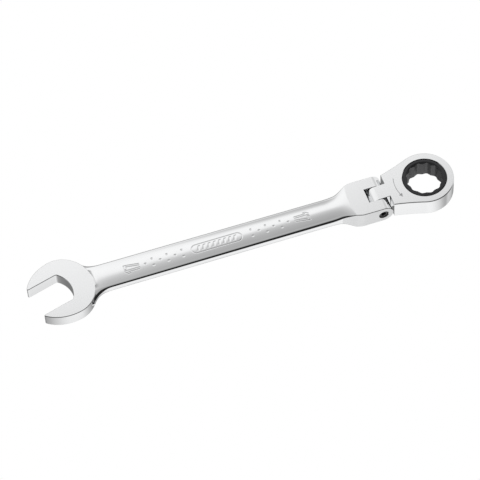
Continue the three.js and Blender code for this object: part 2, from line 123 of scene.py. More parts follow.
HEAD_TOP = 5.3                      # flush with the tongue
HEAD_BOTTOM = -5.7
HEAD_EDGE = 0.45
RING_RADIUS = 15.4
NECK_JOIN = math.radians(110)       # where the neck leaves the ring
NECK_CONTROL_X = 14.0               # bends the neck's side
SHOULDER_X = 6.1
SHOULDER_HALF_WIDTH = 9.9
ROOT_FILLET = 0.5
TONGUE_HALF_WIDTH = 4.2
TONGUE_EDGE = 0.25
TONGUE_ROOT_X = 9.0                 # where the tongue ends inside the head
TONGUE_SINK = 0.004                 # and how far below the head's top face
LIP_RADIUS = 11.65
LIP_CHAMFER = 0.25
LIP_Z = 3.7                         # underside of the lip
GEAR_BORE_RADIUS = 13.05
GROOVE_RADIUS = 13.8
GROOVE_Z = (-4.5, -3.5)
POCKET_BACK = 8.9
POCKET_FRONT = GEAR_X - 9           # inside the gear's bore
POCKET_HALF_WIDTH = 5.05
POCKET_HALF_HEIGHT = 3.15
ARROW_DEPTH = 0.16
ARROW_RADIUS = 16.35
ARROW_HALF_WIDTH = 0.16
ARROW_HALF_TURN = math.radians(19)
ARROW_HEAD = (1.9, 1.0, 0.2)        # ahead of the line's end, half width, and behind it

GEAR_TOP = 5.2
GEAR_BOTTOM = -5.5
COLLAR_RADIUS = 11.42
TEETH = 72
TOOTH_TIP_RADIUS = 12.75
TOOTH_ROOT_RADIUS = 12.3
TOOTH_BAND_Z = 3.4
SOCKET_POINT_RADIUS = 9.62          # the points of the socket are cut off a little
SOCKET_MOUTH_RADIUS = 10.15         # a shallow cone opens each mouth of the socket
SOCKET_MOUTH_SLOPE = {1: 0.55, -1: 0.35}    # at the top and at the bottom
GEAR_SIDES = 288
GEAR_EDGE = 0.1

SNAP_RING_RADII = (12.0, 13.6)
SNAP_RING_Z = -4.0
SNAP_RING_HALF_HEIGHT = 0.35
SNAP_RING_HALF_GAP = math.radians(14)
SNAP_RING_EDGE = 0.12

BALL_RADIUS = 1.5
BALL_X = -6.88
BALL_BORE_RADIUS = 1.62
BALL_BORE_END = -14.4
SPRING_BORE_RADIUS = 1.25           # for the pawl's spring
SPRING_BORE_END = 5.4
# Each spring is its ends along X, its radius, its wire's radius and its turns.
BALL_SPRING = (-14.23, -8.53, 1.15, 0.2, 5)
PAWL_SPRING = (5.55, 11.35, 0.85, 0.17, 5)

CUT = 9.0                           # how far out the cutting tools reach
STUDIO_RADIUS = 0.5                 # in metres
AIM_FROM_HINGE = Vector((-0.075, 0, 0))     # where the camera and the studio are centred, in metres

# ---- meshes ----


def smooth(x, start, end):
    t = np.clip((np.asarray(x, float) - start) / (end - start), 0, 1)
    return t * t * (3 - 2 * t)


def arc(cx, cy, rx, ry, start, end, step=math.radians(3)):
    """Points of an arc of an ellipse, both ends included."""
    angle = np.linspace(start, end, max(2, math.ceil(abs(end - start) / step) + 1))
    return np.column_stack([cx + rx * np.cos(angle), cy + ry * np.sin(angle)])


def curve(start, control, end, count):
    """Points of a parabola from start to end, both included."""
    t = np.linspace(0, 1, count)[:, None]
    return ((1 - t) ** 2 * np.array(start) + 2 * t * (1 - t) * np.array(control)
            + t ** 2 * np.array(end))


def joined(*runs):
    """One outline from runs of points, with the points that two runs share kept once."""
    outline = np.vstack([np.atleast_2d(run) for run in runs])
    gap = np.linalg.norm(outline - np.roll(outline, 1, axis=0), axis=1)
    return outline[gap > 1e-3]


def inset(outline, distance):
    """The outline, drawn anticlockwise, moved inwards."""
    def inward(edge):
        length = np.linalg.norm(edge, axis=1, keepdims=True)
        return np.column_stack([-edge[:, 1], edge[:, 0]]) / length

    before = inward(outline - np.roll(outline, 1, axis=0))
    after = inward(np.roll(outline, -1, axis=0) - outline)
    mitre = (before + after) / (1 + (before * after).sum(1, keepdims=True))
    return outline + distance * mitre


def skin(rings, closed=False):
    """Points and faces of a skin over rings of equally many points. It is capped at both ends, or
    closed on itself."""
    count = len(rings[0])
    faces = []
    for i in range(len(rings) if closed else len(rings) - 1):
        a = i * count
        b = (i + 1) % len(rings) * count
        for j in range(count):
            k = (j + 1) % count
            faces.append((a + j, a + k, b + k, b + j))
    if not closed:
        faces.append(tuple(reversed(range(count))))
        faces.append(tuple(range((len(rings) - 1) * count, len(rings) * count)))
    return np.vstack(rings), faces


def solid(points_and_faces):
    """An object of that mesh, in metres, with its faces pointing out."""
    points, faces = points_and_faces
    mesh = bpy.data.meshes.new("solid")
    mesh.from_pydata((np.asarray(points) * MM).tolist(), [], faces)
    tidy = bmesh.new()
    tidy.from_mesh(mesh)
    bmesh.ops.remove_doubles(tidy, verts=tidy.verts, dist=1e-7)
    bmesh.ops.recalc_face_normals(tidy, faces=tidy.faces)
    tidy.to_mesh(mesh)
    tidy.free()
    result = bpy.data.objects.new("solid", mesh)
    bpy.context.scene.collection.objects.link(result)
    return result


def combine(base, *steps):
    """base after each (operation, tool) in turn. It uses up base and the tools."""
    for operation, tool in steps:
        modifier = base.modifiers.new("step", "BOOLEAN")
        modifier.operation = operation
        modifier.solver = "MANIFOLD"
        modifier.object = tool
    bpy.context.view_layer.update()
    evaluated = base.evaluated_get(bpy.context.evaluated_depsgraph_get())
    mesh = bpy.data.meshes.new_from_object(evaluated)
    for used in (base, *[tool for _, tool in steps]):
        bpy.data.objects.remove(used)
    result = bpy.data.objects.new("solid", mesh)
    bpy.context.scene.collection.objects.link(result)
    return result


def prism(outline, low, high, edge=0.0, edge_steps=4):
    """A plate of an outline in X and Y from low to high, with rounded edges."""
    turns = [math.pi / 2]
    if edge:
        turns = [math.pi / 2 * i / edge_steps for i in range(edge_steps + 1)]
    levels = [(edge * (1 - math.sin(a)), edge * (1 - math.cos(a))) for a in turns]
    bottom = [(pull, low + rise) for pull, rise in levels]
    top = [(pull, high - rise) for pull, rise in reversed(levels)]
    return skin([
        np.column_stack([inset(outline, pull), np.full(len(outline), z)]) for pull, z in bottom + top
    ])


def turned(profile, sides, x=0.0):
    """A body of revolution about the line along Z at x, from (radius, z) pairs."""
    angle = np.arange(sides) * 2 * math.pi / sides
    return skin([
        np.column_stack([x + r * np.cos(angle), r * np.sin(angle), np.full(sides, z)])
        for r, z in profile
    ])


def swapped(points_and_faces, order):
    """The same body with its axes taken in another order."""
    points, faces = points_and_faces
    return np.asarray(points)[:, order], faces


def block(low, high):
    corners = [(low[0], low[1]), (high[0], low[1]), (high[0], high[1]), (low[0], high[1])]
    return prism(np.array(corners, float), low[2], high[2])


def along_y(points_and_faces):
    """The same body, with its Z turned to Y."""
    return swapped(points_and_faces, (0, 2, 1))


def along_x(points_and_faces):
    """The same body, with its Z turned to X."""
    return swapped(points_and_faces, (2, 0, 1))


def piece(name, body, thing, place, material_list, nodes, sharp, paint=None, soft_zone=None):
    """A finished piece: placed, shaded, riding on its body and standing for its CAD nodes. paint
    chooses each face's material, and soft_zone the edges that are kept smooth."""
    thing.name = name
    thing.data.name = name
    mesh = thing.data
    mesh.materials.clear()
    for material in material_list:
        mesh.materials.append(material)
    if paint:
        count = len(mesh.polygons)
        centre, normal = np.zeros(count * 3), np.zeros(count * 3)
        mesh.polygons.foreach_get("center", centre)
        mesh.polygons.foreach_get("normal", normal)
        choice = paint(centre.reshape(-1, 3) / MM, normal.reshape(-1, 3))
        mesh.polygons.foreach_set("material_index", np.asarray(choice, np.int32))
    mesh.shade_smooth()
    mesh.set_sharp_from_angle(angle=math.radians(sharp))
    if soft_zone:
        ends = ([mesh.vertices[i].co for i in edge.vertices] for edge in mesh.edges)
        middles = np.array([(a + b) / 2 for a, b in ends]) / MM
        for i in np.flatnonzero(soft_zone(middles)):
            mesh.edges[i].use_edge_sharp = False
    weighted = thing.modifiers.new("weighted_normals", "WEIGHTED_NORMAL")
    weighted.keep_sharp = True
    weighted.weight = 80
    mesh.transform(place)
    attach(thing, body)
    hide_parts(*nodes)
    return thing


# ---- materials ----


class Nodes:
    """A short way to write a node tree."""

    def __init__(self, tree):
        self.tree = tree
        tree.nodes.clear()

    def add(self, kind, inputs=None, **settings):
        node = self.tree.nodes.new(kind)
        for key, value in settings.items():
            setattr(node, key, value)
        for key, value in (inputs or {}).items():
            if isinstance(value, bpy.types.NodeSocket):
                self.tree.links.new(value, node.inputs[key])
            else:
                node.inputs[key].default_value = value
        return node

    def math(self, operation, *values):
        return self.add("ShaderNodeMath", dict(enumerate(values)), operation=operation).outputs[0]

    def span(self, value, low, high, to_low, to_high):
        """value from low to high, as to_low to to_high."""
        return self.add("ShaderNodeMapRange", {
            "Value": value, "From Min": low, "From Max": high, "To Min": to_low, "To Max": to_high,
        }).outputs["Result"]

    def noise(self, position, scale, detail=2.0, roughness=0.5):
        return self.add("ShaderNodeTexNoise", {
            "Vector": position, "Scale": scale, "Detail": detail, "Roughness": roughness,
        }).outputs["Fac"]

    def ramp(self, value, stops):
        """A grey for value, from (position, grey) pairs."""
        node = self.add("ShaderNodeValToRGB", {"Fac": value})
        elements = node.color_ramp.elements
        while len(elements) < len(stops):
            elements.new(0.5)
        for element, (position, grey) in zip(elements, stops):
            element.position = position
            element.color = (grey, grey, grey, 1)
        return node.outputs["Color"]

    def stretched(self, position, x, y, z):
        return self.add("ShaderNodeMapping", {"Vector": position, "Scale": (x, y, z)}).outputs["Vector"]


def steel(name, dark, light, roughness, metallic=1.0, grain=(1, 1, 1), grain_scale=6000.0,
          grain_height=0.002, wave_height=0.0, wear=0.0, coat=0.0):
    """A metal whose colour and roughness vary, with a fine grain, long waves and worn edges."""
    material = bpy.data.materials.new(name)
    material.use_nodes = True
    n = Nodes(material.node_tree)
    position = n.add("ShaderNodeTexCoord").outputs["Object"]
    cloud = n.noise(position, 90.0, 3.0)
    fine = n.noise(n.stretched(position, *grain), grain_scale, 3.0, 0.6)
    speck = n.noise(position, 2600.0, 2.0)
    mixed = n.math("ADD", n.math("MULTIPLY", cloud, 0.6), n.math("MULTIPLY", speck, 0.4))
    edge_normal = n.add("ShaderNodeBevel", {"Radius": 0.35 * MM}, samples=4).outputs["Normal"]
    true_normal = n.add("ShaderNodeNewGeometry").outputs["Normal"]
    turn = n.add("ShaderNodeVectorMath", {0: edge_normal, 1: true_normal}, operation="DOT_PRODUCT")
    edge = n.span(turn.outputs["Value"], 0.98, 0.8, 0.0, 1.0)
    colour = n.add("ShaderNodeMix", {
        "Factor": n.span(mixed, 0.3, 0.7, 0.0, 1.0), "A": (*dark, 1), "B": (*light, 1),
    }, data_type="RGBA").outputs["Result"]
    worn = n.add("ShaderNodeMix", {
        "Factor": n.math("MULTIPLY", edge, wear), "A": colour, "B": (0.78, 0.78, 0.78, 1),
    }, data_type="RGBA").outputs["Result"]
    spread = n.math("ADD", n.span(fine, 0.3, 0.7, roughness * 0.85, roughness * 1.15),
                    n.span(cloud, 0.3, 0.7, -0.12 * roughness, 0.12 * roughness))
    height = n.math("MULTIPLY", fine, grain_height)
    if wave_height:
        wave = n.noise(n.stretched(position, 0.35, 1, 1), 220.0, 1.0)
        height = n.math("ADD", height, n.math("MULTIPLY", wave, wave_height))
    bump = n.add("ShaderNodeBump", {"Height": height, "Distance": MM, "Strength": 1.0})
    shader = n.add("ShaderNodeBsdfPrincipled", {
        "Base Color": worn, "Metallic": metallic, "Roughness": spread,
        "Normal": bump.outputs["Normal"], "Coat Weight": coat, "Coat Roughness": 0.25,
    })
    n.add("ShaderNodeOutputMaterial", {"Surface": shader.outputs["BSDF"]})
    return material


mirror_chrome = steel("mirror_chrome", (0.87, 0.875, 0.88), (0.90, 0.905, 0.91), 0.08,
                      grain=(0.03, 1, 1), grain_scale=5000.0, grain_height=0.0012, wave_height=0.004)
satin_chrome = steel("satin_chrome", (0.87, 0.875, 0.88), (0.90, 0.905, 0.91), 0.2,
                     grain_scale=9000.0, grain_height=0.0008)
ground_chrome = steel("ground_chrome", (0.80, 0.805, 0.81), (0.85, 0.855, 0.86), 0.26,
                      grain_scale=9000.0, grain_height=0.0012)
etched_chrome = steel("etched_chrome", (0.5, 0.505, 0.51), (0.62, 0.625, 0.63), 0.5,
                      grain_scale=9000.0, grain_height=0.006)
black_steel = steel("black_steel", (0.022, 0.022, 0.024), (0.05, 0.05, 0.053), 0.42, metallic=0.6,
                    grain_height=0.01, wear=0.08, coat=0.1)
broached_steel = steel("broached_steel", (0.07, 0.07, 0.073), (0.15, 0.15, 0.155), 0.4, metallic=0.6,
                       grain=(1, 1, 0.02), grain_scale=2600.0, grain_height=0.02, wear=0.12, coat=0.15)
screw_steel = steel("screw_steel", (0.09, 0.09, 0.095), (0.15, 0.15, 0.155), 0.42, metallic=0.35,
                    grain_height=0.006, wear=0.2)
hard_steel = steel("hard_steel", (0.42, 0.43, 0.44), (0.55, 0.56, 0.57), 0.25, grain_height=0.004)
spring_steel = steel("spring_steel", (0.3, 0.31, 0.32), (0.42, 0.43, 0.44), 0.32, grain_height=0.006)

# ---- handle ----


def jaw_outline():
    """The jaw's outline, anticlockwise, in u along its mouth and v across it."""
    half = HEX / 2
    throat_u = JAW_THROAT_U - JAW_THROAT_RADIUS
    corner_v = half - JAW_CORNER_RADIUS
    corner_u = throat_u + math.sqrt((JAW_THROAT_RADIUS - JAW_CORNER_RADIUS) ** 2 - corner_v ** 2)
    corner_angle = math.atan2(corner_v, corner_u - throat_u)

    def side_run(side):
        """From the mouth's flat round the tip to the widest place, on the side of v's sign."""
        front = JAW_FRONT[side]
        tip_u = JAW_OUTLINE_U - front * math.sqrt(1 - (half / JAW_HALF_WIDTH) ** 2)
        round_u = tip_u + JAW_TIP_ROUND[side] * JAW_TIP_BLEND
        angle = math.acos((round_u - JAW_OUTLINE_U) / front)
        start = (tip_u + JAW_TIP_ROUND[side], side * half)
        control = (tip_u, side * half)
        end = (round_u, side * JAW_HALF_WIDTH * math.sin(angle))
        tip = curve(start, control, end, 7)
        return joined(tip, arc(JAW_OUTLINE_U, 0, front, JAW_HALF_WIDTH, side * angle,
                               side * math.pi / 2, math.radians(2)))

    return joined(
        arc(throat_u, 0, JAW_THROAT_RADIUS, JAW_THROAT_RADIUS, corner_angle, -corner_angle),
        arc(corner_u, -corner_v, JAW_CORNER_RADIUS, JAW_CORNER_RADIUS, -corner_angle, -math.pi / 2,
            math.radians(10)),
        side_run(-1),
        arc(JAW_OUTLINE_U, 0, JAW_BACK, JAW_HALF_WIDTH, -math.pi / 2, math.pi / 2, math.radians(2)),
        side_run(1)[::-1],
        arc(corner_u, corner_v, JAW_CORNER_RADIUS, JAW_CORNER_RADIUS, math.pi / 2, corner_angle,
            math.radians(10)),
    )


def turned_by(points, angle, centre):
    c, s = math.cos(angle), math.sin(angle)
    return points @ np.array([[c, s], [-s, c]]) + np.array(centre)


def jaw_edge_x(y):
    """Where the jaw's back edge crosses the handle at y."""
    back = arc(JAW_OUTLINE_U, 0, JAW_BACK, JAW_HALF_WIDTH, -1.4, 1.2, 0.01)
    edge = turned_by(back, JAW_TURN, JAW_CENTRE)
    return np.interp(y, edge[:, 1], edge[:, 0])


def pad_edge_x(y):
    return PAD_X + PAD_EDGE_BOW * y ** 2


# What is pressed into the handle's faces: a size at each end, rows of dimples and a plain band of
# slanted bars. Each outline is a closed line of (x, y) points.

DIGITS = {
    "1": (0.30, [(0.12, 0), (0.24, 0), (0.24, 1), (0.14, 1), (0.0, 0.82), (0.0, 0.66), (0.12, 0.76)]),
    "7": (0.34, [(0.05, 0), (0.17, 0), (0.30, 0.86), (0.30, 1), (0, 1), (0, 0.86), (0.18, 0.86)]),
}
DIGIT_HEIGHT = 8.0
DIGIT_START = -2.75


def size_mark(x_foot, up):
    """The outlines of 17, with the digits' tops towards up along X."""
    marks = []
    along = DIGIT_START
    for digit in "17":
        width, outline = DIGITS[digit]
        points = np.array(outline) * DIGIT_HEIGHT
        marks.append(np.column_stack([x_foot + up * points[:, 1], -up * (along + points[:, 0])]))
        along += (width + 0.04) * DIGIT_HEIGHT
    return marks


def bar_mark(x, half_length, half_height, slant):
    return np.array([
        (x - half_length - slant, -half_height), (x + half_length - slant, -half_height),
        (x + half_length + slant, half_height), (x - half_length + slant, half_height),
    ])


def stadium(x, half_length, radius):
    """A long outline with round ends, anticlockwise."""
    step = math.radians(12)
    return np.vstack([
        arc(x + half_length - radius, 0, radius, radius, -math.pi / 2, math.pi / 2, step),
        arc(x - half_length + radius, 0, radius, radius, math.pi / 2, 1.5 * math.pi, step),
    ])


MARK_Y = -0.6                       # the marks' middle line
BAND_MIDDLE = -88.5
BAND_HALF_LENGTH = 13.6
BAND_HALF_HEIGHT = 2.5
BAND_BARS = 8
BAR_PITCH = 2.8
BAR = (0.5, 1.3, 0.55)              # half length, half height and slant
OUTLINES = size_mark(-130.2, -1) + size_mark(-45.8, 1)
OUTLINES.append(stadium(BAND_MIDDLE, BAND_HALF_LENGTH, BAND_HALF_HEIGHT))
BARS = [bar_mark(BAND_MIDDLE + BAR_PITCH * (i - (BAND_BARS - 1) / 2), *BAR) for i in range(BAND_BARS)]
DIMPLES = [(x, y) for x in (-123, -115, -107, -69.5, -61.5, -53.5) for y in (2, -2)]
DIMPLES += [(x, 0) for x in (-127, -119, -111, -65.5, -57.5, -49.5)]
DIMPLE_RADIUS = 0.68
DIMPLE_DEPTH = 0.22
LINE_HALF_WIDTH = 0.3
LINE_DEPTH = 0.17
BAR_DEPTH = 0.14


def distance_to(outline, x, y):
    """How far (x, y) is from a closed outline, and whether it lies inside."""
    best = np.full(x.shape, np.inf)
    inside = np.zeros(x.shape, bool)
    for (ax, ay), (bx, by) in zip(outline, np.roll(outline, -1, axis=0)):
        dx, dy = bx - ax, by - ay
        t = np.clip(((x - ax) * dx + (y - ay) * dy) / (dx * dx + dy * dy), 0, 1)
        best = np.minimum(best, np.hypot(x - ax - t * dx, y - ay - t * dy))
        crosses = (ay > y) != (by > y)
        inside ^= crosses & (x < ax + (y - ay) * dx / (dy if dy else 1.0))
    return best, inside


def pressed(x, y):
    """How deep the marks are pressed at (x, y)."""
    y = y - MARK_Y
    depth = np.zeros(x.shape)
    for cx, cy in DIMPLES:
        near = np.clip(1 - ((x - cx) ** 2 + (y - cy) ** 2) / DIMPLE_RADIUS ** 2, 0, 1)
        depth = np.maximum(depth, DIMPLE_DEPTH * near ** 1.3)
    for outline, filled in [(line, False) for line in OUTLINES] + [(bar, True) for bar in BARS]:
        low, high = outline.min(0) - 1, outline.max(0) + 1
        close = (x > low[0]) & (x < high[0]) & (y > low[1]) & (y < high[1])
        best, inside = distance_to(outline, x[close], y[close])
        mark = LINE_DEPTH * smooth(best, LINE_HALF_WIDTH, 0.0)
        if filled:
            mark = BAR_DEPTH * smooth(np.where(inside, -best, best), LINE_HALF_WIDTH, -0.1)
        depth[close] = np.maximum(depth[close], mark)
    return depth


def end_pair(pair, x):
    """The value at x of a pair that holds the jaw's end and the yoke's end."""
    along = np.clip((x - JAW_NECK[1][0]) / (YOKE_RISE_X - JAW_NECK[1][0]), 0, 1)
    return pair[0] + (pair[1] - pair[0]) * along


def neck_width(x, side):
    """What the round neck at the jaw adds to the half width, on the side of side's sign."""
    pairs = zip(JAW_NECK[1], JAW_NECK[-1])
    start, radius, length = (np.where(side >= 0, far, near) for far, near in pairs)
    into = np.clip(start - x, 0, length)
    return radius - np.sqrt(radius ** 2 - into ** 2)


def half_width(x, side):
    """The handle's half width from the jaw to the yoke."""
    shank = end_pair(SHANK_HALF_WIDTH, x) + neck_width(x, side)
    return shank + (YOKE_HALF_WIDTH - shank) * smooth(x, *YOKE_FLARE)


def shoulder(x, side):
    """The width and the height of the rounding between the crown and the flat side."""
    deep = end_pair(SHOULDER, x)
    deep = deep + (YOKE_EDGE - deep) * smooth(x, YOKE_FLARE[0], PAD_X + 1)
    neck = neck_width(x, side)
    lift = np.minimum(NECK_SHOULDER_Z[0] * neck, NECK_SHOULDER_Z[1])
    return deep + NECK_SHOULDER_Y * neck, deep + lift


def crown_height(x, y):
    """Half thickness of the handle's middle surface, without the shoulders and the marks."""
    width = half_width(x, y)
    side = end_pair(SHANK_SIDE, x) + end_pair(SHOULDER, x)
    crown = side + (end_pair(SHANK_CROWN, x) - side) * (1 - (y / width) ** 2)
    rise = np.clip((x - YOKE_RISE_X) / (pad_edge_x(y) - YOKE_RISE_X), 0, 1) ** YOKE_RISE_POWER
    crown = crown + (YOKE_Z - crown) * rise
    off_jaw = np.clip(1 - (x - jaw_edge_x(y)) / JAW_FILLET[0], 0, 1)
    fillet = JAW_FILLET[1] * (1 - smooth(np.abs(y), *JAW_FILLET_ENDS))
    return crown + fillet * (1 - np.sqrt(np.clip(1 - off_jaw ** 2, 0, 1)))


def handle_columns():
    """Stations along the handle, finer where it is marked or bends."""
    spans = [
        (SHANK_START, -155.6, 0.9), (-155.6, -154.4, 0.1), (-154.4, -150, 0.45), (-150, -139, 0.8),
        (-139, -129.4, 0.13), (-129.4, -105, 0.28), (-105, -102.8, 0.6), (-102.8, -74.2, 0.18),
        (-74.2, -71, 0.6), (-71, -47, 0.28), (-47, -37, 0.13), (-37, -28, 0.8), (-28, -10, 0.4),
        (-10, 0, 1.0),
    ]
    runs = [np.linspace(a, b, round((b - a) / step), endpoint=False) for a, b, step in spans]
    return np.concatenate(runs)


def handle_rows():
    """Fractions of the half width across the crown, finer in the marked middle."""
    marked_part = 0.64
    middle = np.arange(0, marked_part, 0.0195)
    outer = np.linspace(marked_part, 1, 9)
    half = np.concatenate([middle, outer])
    return np.concatenate([-half[:0:-1], half])


def handle_skin():
    """The handle without its jaw, slot and holes: a ring of points at each station along it. The
    stations bend with the jaw's back edge and with the pad's edge, so that those edges are sharp."""
    rows = handle_rows()
    ear_end = YOKE_Z * np.sin(np.linspace(0, math.pi / 2, 19))
    stations = np.concatenate([handle_columns(), ear_end])[:, None]
    at_jaw = 1 - smooth(stations, -154.4, -140)
    at_pad = smooth(stations, -30, -17) * (1 - smooth(stations, -14, -9))

    def bent(y):
        jaw_bend = at_jaw * (jaw_edge_x(y) - jaw_edge_x(0.0))
        return stations + jaw_bend + at_pad * (pad_edge_x(y) - pad_edge_x(0.0))

    x = stations + 0 * rows
    for _ in range(5):              # x and y depend on each other, and settle
        y = rows * (half_width(x, rows) - shoulder(x, rows)[0])
        x = bent(y)
    ear = np.sqrt(np.clip(YOKE_Z ** 2 - np.clip(x, 0, YOKE_Z) ** 2, 0, None))
    crown = np.minimum(crown_height(x, y), ear)
    tops = {}
    for side in (1, -1):
        tops[side] = crown - pressed(x, side * y) * (ear > YOKE_Z - 1e-6)
    wide, deep = shoulder(x, rows)
    deep = np.minimum(deep, 0.9 * crown)        # some flat side is left where the ears end
    turn = np.linspace(0, math.pi / 2, SHOULDER_STEPS + 1)[1:]
    out, down = np.sin(turn), 1 - np.cos(turn)

    def round_side(i, end, sign):
        """The rounding at station i beside the row end, away from the middle."""
        return np.column_stack([
            np.full(SHOULDER_STEPS, x[i, end]), y[i, end] + sign * wide[i, end] * out,
            crown[i, end] - deep[i, end] * down,
        ])

    rings = []
    for i in range(len(stations)):
        near = round_side(i, 0, -1)[::-1]
        far = round_side(i, -1, 1)
        upper = np.vstack([near, np.column_stack([x[i], y[i], tops[1][i]]), far])
        lower = np.vstack([near, np.column_stack([x[i], y[i], tops[-1][i]]), far])
        rings.append(np.vstack([upper, lower[::-1] * (1, 1, -1)]))
    return skin(rings)


def handle():
    body = solid(handle_skin())
    outline = turned_by(jaw_outline(), JAW_TURN, JAW_CENTRE)
    jaw = solid(prism(outline, -JAW_Z, JAW_Z, JAW_EDGE))
    slot = solid(block((SLOT_FLOOR, -SLOT_HALF_WIDTH, -CUT), (CUT, SLOT_HALF_WIDTH, CUT)))
    bore = SCREW_RADIUS + SCREW_PLAY
    thread = THREAD_RADIUS + SCREW_PLAY
    rim = SCREW_HOLE_RIM
    outside = YOKE_HALF_WIDTH + 0.2
    hole = solid(along_y(turned([
        (bore + rim, -outside), (bore + rim, -YOKE_HALF_WIDTH), (bore, -YOKE_HALF_WIDTH + rim),
        (bore, SCREW_SHOULDER_Y), (thread, SCREW_SHOULDER_Y), (thread, YOKE_HALF_WIDTH - rim),
        (thread + rim, YOKE_HALF_WIDTH), (thread + rim, outside),
    ], 64)))
    ball_bore = solid(along_x(turned([
        (BALL_BORE_RADIUS, BALL_BORE_END), (BALL_BORE_RADIUS, SLOT_FLOOR + 1),
    ], 48)))
    cuts = [slot, hole, ball_bore]
    return combine(body, ("UNION", jaw), *[("DIFFERENCE", cut) for cut in cuts])


def handle_paint(centre, normal):
    """Satin on the flat faces of the jaw and the yoke, ground on the yoke's sides, mirror elsewhere."""
    flat = np.abs(normal[:, 2]) > 0.9999
    jaw = (np.abs(np.abs(centre[:, 2]) - JAW_Z) < 0.01) & (centre[:, 0] < JAW_NECK[1][0])
    pad = (np.abs(np.abs(centre[:, 2]) - YOKE_Z) < 0.01) & (centre[:, 0] > PAD_X - 1)
    side = (np.abs(normal[:, 1]) > 0.9) & (centre[:, 0] > YOKE_FLARE[0] + 1)
    return np.where(side, 2, flat & (jaw | pad))


def marked(points):
    """The stretch of the handle whose marks stay smooth."""
    inner = (points[:, 0] > -142) & (points[:, 0] < -34) & (np.abs(points[:, 1]) < 5)
    return inner & (np.abs(points[:, 2]) > 1.5)


piece("handle", "handle", handle(), HANDLE_PLACE, [mirror_chrome, satin_chrome, ground_chrome],
      ["handle_forging"], 24.0, handle_paint, marked)

# ---- pivot screw ----


def screw_skin():
    """A shoulder screw along Y: its head end, with a hexagon socket, faces -Y."""
    sides = 72
    angle = np.arange(sides) * 2 * math.pi / sides
    sector = math.pi / 3
    hexagon = SCREW_HEX / 2 / np.cos((angle + sector / 2) % sector - sector / 2)
    end = -SCREW_HALF_LENGTH

    def ring(radius, y):
        return np.column_stack([radius * np.cos(angle), np.full(sides, y), radius * np.sin(angle)])

    rings = [
        ring(0.02, end + SCREW_HEX_DEPTH + 0.5), ring(hexagon, end + SCREW_HEX_DEPTH),
        ring(hexagon, end + 0.2), ring(hexagon + 0.12, end + 0.06), ring(hexagon + 0.2, end),
        ring(SCREW_RADIUS - SCREW_CHAMFER, end), ring(SCREW_RADIUS - 0.08, end + 0.1),
        ring(SCREW_RADIUS, end + SCREW_CHAMFER), ring(SCREW_RADIUS, SCREW_SHOULDER_Y - 0.25),
        ring(SCREW_RADIUS - 0.15, SCREW_SHOULDER_Y - 0.05),
    ]
    thread_end = SCREW_HALF_LENGTH - 0.3
    fade_length = 0.4
    for y in np.arange(SCREW_SHOULDER_Y, thread_end, THREAD_PITCH / 12):
        phase = (y / THREAD_PITCH - angle / (2 * math.pi)) % 1
        fade = min(1.0, (thread_end - y) / fade_length, (y - SCREW_SHOULDER_Y) / fade_length + 0.2)
        root = THREAD_DEPTH * np.clip(2 * np.abs(phase - 0.5) * 1.3 - 0.15, 0, 1)
        rings.append(ring(THREAD_RADIUS - THREAD_DEPTH * (1 - fade) - root * fade, y))
    rings.append(ring(THREAD_RADIUS - 0.35, SCREW_HALF_LENGTH - 0.2))
    rings.append(ring(THREAD_RADIUS - 0.6, SCREW_HALF_LENGTH))
    return skin(rings)


piece("pivot_screw_body", "handle", solid(screw_skin()), HANDLE_PLACE, [screw_steel],
      ["pivot_screw"], 30.0)

# ---- ratchet head ----


def neck_outline():
    """The head's outline, anticlockwise, from the shoulders round the ring. The tongue's root is on
    it as a short stub with a fillet on each side."""
    join = (GEAR_X + RING_RADIUS * math.cos(NECK_JOIN), RING_RADIUS * math.sin(NECK_JOIN))
    tangent = (math.sin(NECK_JOIN), -math.cos(NECK_JOIN))
    reach = (join[0] - NECK_CONTROL_X) / tangent[0]
    control = (NECK_CONTROL_X, join[1] - tangent[1] * reach)
    start = (SHOULDER_X, SHOULDER_HALF_WIDTH)
    far = curve(join, control, start, 25)
    fillet = arc(SHOULDER_X - ROOT_FILLET, TONGUE_HALF_WIDTH + ROOT_FILLET, ROOT_FILLET, ROOT_FILLET,
                 0, -math.pi / 2, math.radians(15))
    stub = [(SHOULDER_X - ROOT_FILLET - 0.4, TONGUE_HALF_WIDTH)]
    upper = np.vstack([far, fillet, stub])
    lower = upper[::-1] * (1, -1)
    ring = arc(GEAR_X, 0, RING_RADIUS, RING_RADIUS, -NECK_JOIN, NECK_JOIN, math.radians(2))
    return joined(ring, upper, lower)


def arrow_cut():
    """The turning arrow sunk in the head's face: a slim arc about the gear with a head at one end."""
    start = math.pi - ARROW_HALF_TURN
    end = math.pi + ARROW_HALF_TURN
    outer = ARROW_RADIUS + ARROW_HALF_WIDTH
    inner = ARROW_RADIUS - ARROW_HALF_WIDTH
    line = np.vstack([
        arc(GEAR_X, 0, outer, outer, start, end, math.radians(2)),
        arc(GEAR_X, 0, inner, inner, end, start, math.radians(2)),
    ])
    tip = np.array([GEAR_X + ARROW_RADIUS * math.cos(end), ARROW_RADIUS * math.sin(end)])
    ahead = np.array([-math.sin(end), math.cos(end)])
    aside = np.array([-ahead[1], ahead[0]])
    length, barb_half, back = ARROW_HEAD
    barb = np.array([
        tip + ahead * length, tip + aside * barb_half - ahead * back,
        tip - aside * barb_half - ahead * back,
    ])
    low = HEAD_TOP - ARROW_DEPTH
    return [solid(prism(outline, low, HEAD_TOP + 1)) for outline in (line, barb)]


